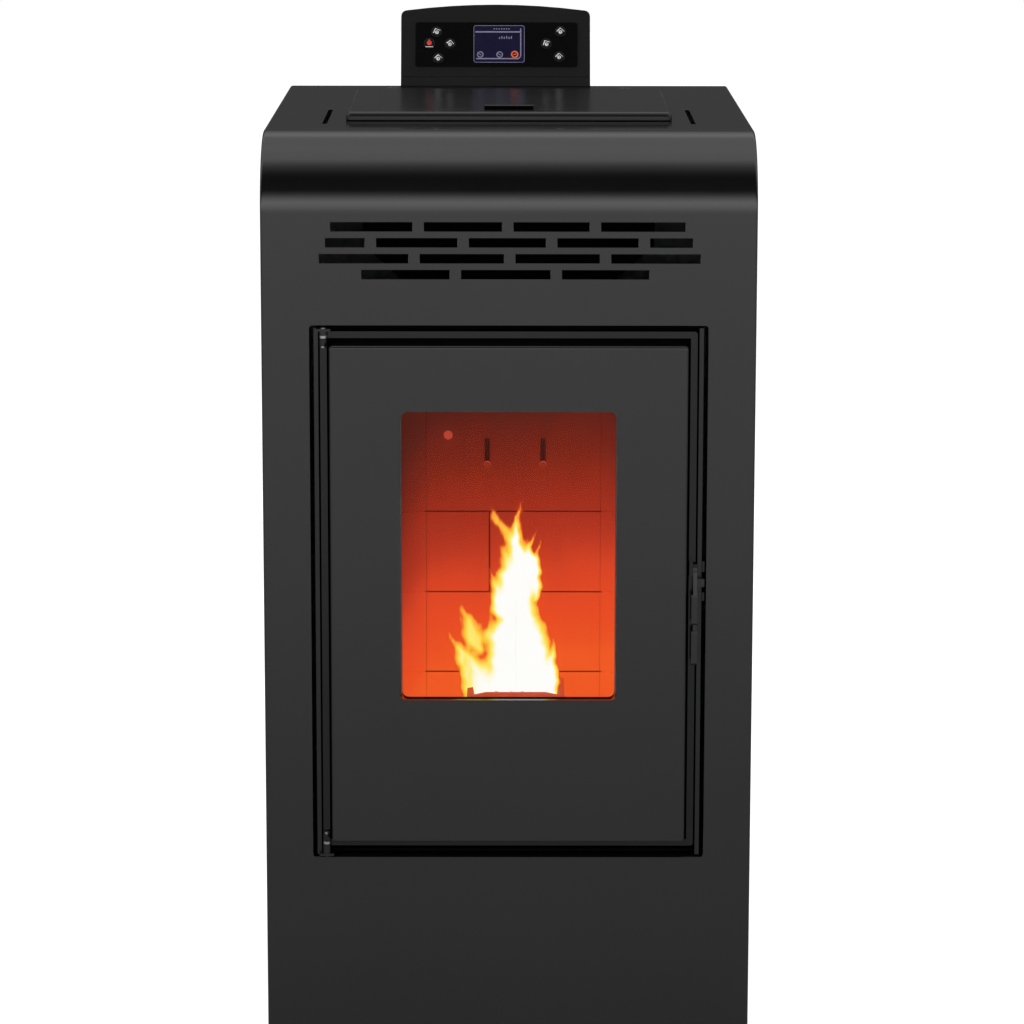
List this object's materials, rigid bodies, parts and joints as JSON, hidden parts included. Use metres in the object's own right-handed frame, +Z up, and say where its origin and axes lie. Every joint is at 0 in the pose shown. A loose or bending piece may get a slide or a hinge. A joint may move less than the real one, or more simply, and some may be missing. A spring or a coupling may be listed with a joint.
{
  "type": "pellet stove",
  "caption": "Free-standing pellet stove: steel cabinet with a rounded top bend, glazed fire door, lidded pellet hopper, leaning control panel, screw feed, burn pot, fans and rear flue",
  "frame": {"origin": "middle of the outline on the floor", "axes": "+Z up, -Y out of the door, +X to the right as the user faces the door"},
  "size_m": [0.48, 0.635, 1.0268],
  "materials": {
    "paint": "satin black",
    "door_paint": "satin black",
    "frame_steel": "satin black",
    "inner_steel": "heat-proof matt black",
    "zinc_steel": "zinc-plated",
    "bright_steel": "turned",
    "cast_iron": "as cast",
    "refractory": "rough fireclay",
    "rope": "braided glass rope",
    "glass": "polished ceramic glass",
    "moulded": "fine grained",
    "fascia": "gloss",
    "screen": "polished",
    "key_cap": "satin",
    "power_cap": "satin",
    "circuit": "solder mask",
    "rubber": "matt"
  },
  "bodies": {
    "cabinet": {"front_panel": "paint", "top_plate": "paint", "side_panel_left": "paint", "side_panel_right": "paint", "latch_keeper": "frame_steel", "hopper": "inner_steel", "front_plate": "inner_steel", "firebox_body": "inner_steel", "air_box": "inner_steel", "auger_tube": "inner_steel", "room_fan_motor": "inner_steel", "back_panel": "zinc_steel", "base_plate": "zinc_steel", "hopper_grate": "zinc_steel", "igniter": "zinc_steel", "air_intake_pipe": "zinc_steel", "auger_motor": "zinc_steel", "exhaust_motor": "zinc_steel", "flue_outlet": "zinc_steel", "room_fan_housing": "zinc_steel", "hinge_pin_top": "bright_steel", "hinge_pin_bottom": "bright_steel", "exhaust_fan_housing": "cast_iron", "lining_back": "refractory", "lining_left": "refractory", "lining_right": "refractory", "baffle": "refractory", "lid_hinge_left": "moulded", "lid_hinge_right": "moulded", "control_housing": "moulded", "power_inlet": "moulded", "control_fascia": "fascia", "display_window": "screen", "control_board": "circuit", "main_board": "circuit", "foot_front_left": "rubber", "foot_front_right": "rubber", "foot_rear_left": "rubber", "foot_rear_right": "rubber"},
    "door": {"door_frame": "frame_steel", "door_cover": "door_paint", "door_glass": "glass", "door_gasket": "rope"},
    "lever": {"handle_lever": "moulded"},
    "lid": {"hopper_lid": "paint", "lid_seal": "rubber", "lid_pull": "paint"},
    "auger": {"auger_screw": "zinc_steel"},
    "exhaust_fan": {"exhaust_impeller": "zinc_steel"},
    "room_fan": {"room_fan_rotor": "zinc_steel"},
    "drawer": {"ash_drawer": "inner_steel"},
    "pot": {"burn_pot": "cast_iron"},
    "rocker": {"power_switch": "power_cap"},
    "key_left_top_body": {"key_left_top": "key_cap"},
    "key_power_body": {"key_power": "power_cap"},
    "key_left_inner_body": {"key_left_inner": "key_cap"},
    "key_left_bottom_body": {"key_left_bottom": "key_cap"},
    "key_right_top_body": {"key_right_top": "key_cap"},
    "key_right_inner_body": {"key_right_inner": "key_cap"},
    "key_right_bottom_body": {"key_right_bottom": "key_cap"}
  },
  "joints": [
    {"name": "door_swing", "type": "hinge", "parent": "cabinet", "child": "door", "pos_m": [-0.1797, -0.3035, 0.492], "axis": [0, 0, -1], "range_deg": [0, 100]},
    {"name": "handle_pull", "type": "hinge", "parent": "door", "child": "lever", "pos_m": [0.1817, -0.3035, 0.518], "axis": [-1, 0, 0], "range_deg": [0, 50]},
    {"name": "lid_open", "type": "hinge", "parent": "cabinet", "child": "lid", "pos_m": [0, 0.1465, 0.945], "axis": [-1, 0, 0], "range_deg": [0, 95]},
    {"name": "auger_spin", "type": "hinge", "parent": "cabinet", "child": "auger", "pos_m": [0, 0.1675, 0.55], "axis": [0, -0.7071, 0.7071], "continuous": true},
    {"name": "exhaust_spin", "type": "hinge", "parent": "cabinet", "child": "exhaust_fan", "pos_m": [0.092, -0.0025, 0.306], "axis": [0, 1, 0], "continuous": true},
    {"name": "room_fan_spin", "type": "hinge", "parent": "cabinet", "child": "room_fan", "pos_m": [-0.01, -0.1525, 0.096], "axis": [1, 0, 0], "continuous": true},
    {"name": "ash_drawer_slide", "type": "slide", "parent": "cabinet", "child": "drawer", "axis": [0, -1, 0], "range_m": [0, 0.02]},
    {"name": "burn_pot_lift", "type": "slide", "parent": "cabinet", "child": "pot", "axis": [0, 0, 1], "range_m": [0, 0.06]},
    {"name": "power_rocker", "type": "hinge", "parent": "cabinet", "child": "rocker", "pos_m": [-0.17, 0.27, 0.1225], "axis": [-1, 0, 0], "range_deg": [0, 14]},
    {"name": "key_left_top_press", "type": "slide", "parent": "cabinet", "child": "key_left_top_body", "axis": [0, 0.9385, -0.3453], "range_m": [0, 0.0006], "stiffness_N_per_m": 500},
    {"name": "key_power_press", "type": "slide", "parent": "cabinet", "child": "key_power_body", "axis": [0, 0.9385, -0.3453], "range_m": [0, 0.0006], "stiffness_N_per_m": 500},
    {"name": "key_left_inner_press", "type": "slide", "parent": "cabinet", "child": "key_left_inner_body", "axis": [0, 0.9385, -0.3453], "range_m": [0, 0.0006], "stiffness_N_per_m": 500},
    {"name": "key_left_bottom_press", "type": "slide", "parent": "cabinet", "child": "key_left_bottom_body", "axis": [0, 0.9385, -0.3453], "range_m": [0, 0.0006], "stiffness_N_per_m": 500},
    {"name": "key_right_top_press", "type": "slide", "parent": "cabinet", "child": "key_right_top_body", "axis": [0, 0.9385, -0.3453], "range_m": [0, 0.0006], "stiffness_N_per_m": 500},
    {"name": "key_right_inner_press", "type": "slide", "parent": "cabinet", "child": "key_right_inner_body", "axis": [0, 0.9385, -0.3453], "range_m": [0, 0.0006], "stiffness_N_per_m": 500},
    {"name": "key_right_bottom_press", "type": "slide", "parent": "cabinet", "child": "key_right_bottom_body", "axis": [0, 0.9385, -0.3453], "range_m": [0, 0.0006], "stiffness_N_per_m": 500}
  ]
}
